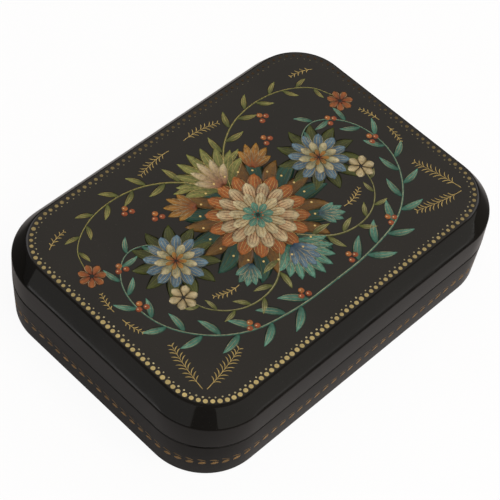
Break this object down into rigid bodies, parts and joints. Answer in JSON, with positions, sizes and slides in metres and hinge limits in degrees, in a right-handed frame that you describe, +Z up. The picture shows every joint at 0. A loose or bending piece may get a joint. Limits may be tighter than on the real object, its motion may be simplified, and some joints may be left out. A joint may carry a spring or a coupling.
{
  "type": "lacquer box",
  "caption": "Shallow rounded rectangular box with a hinged lid, glossy black outside and red inside, its flat top framed by gold dots.",
  "frame": {"origin": "middle of the underside, on the surface that the box stands on", "axes": "+X along the box's length, +Y to the back, where the hinge is, +Z up through the lid"},
  "size_m": [0.145, 0.104, 0.0339],
  "materials": {
    "black_lacquer": "papier-mache under many polished coats of black lacquer",
    "red_lacquer": "papier-mache under cinnabar-red lacquer",
    "hinge_brass": "drawn brass, a little dulled",
    "gold_paint": "powdered gold in a clear binder, burnished, under clear lacquer",
    "tempera": "fine tempera painting under clear lacquer"
  },
  "bodies": {
    "base": {"base_wall": "black_lacquer", "base_bottom": "black_lacquer", "inner_rim": "red_lacquer", "hinge_leaf_base": "hinge_brass", "hinge_pin": "hinge_brass", "base_hinge_nails": "hinge_brass"},
    "lid": {"lid_wall": "black_lacquer", "lid_top": "black_lacquer", "hinge_leaf_lid": "hinge_brass", "lid_hinge_nails": "hinge_brass"}
  },
  "joints": [
    {"name": "lid_hinge", "type": "hinge", "parent": "base", "child": "lid", "pos_m": [0, 0.0504, 0.01726], "axis": [-1, 0, 0], "range_deg": [0, 100]}
  ]
}
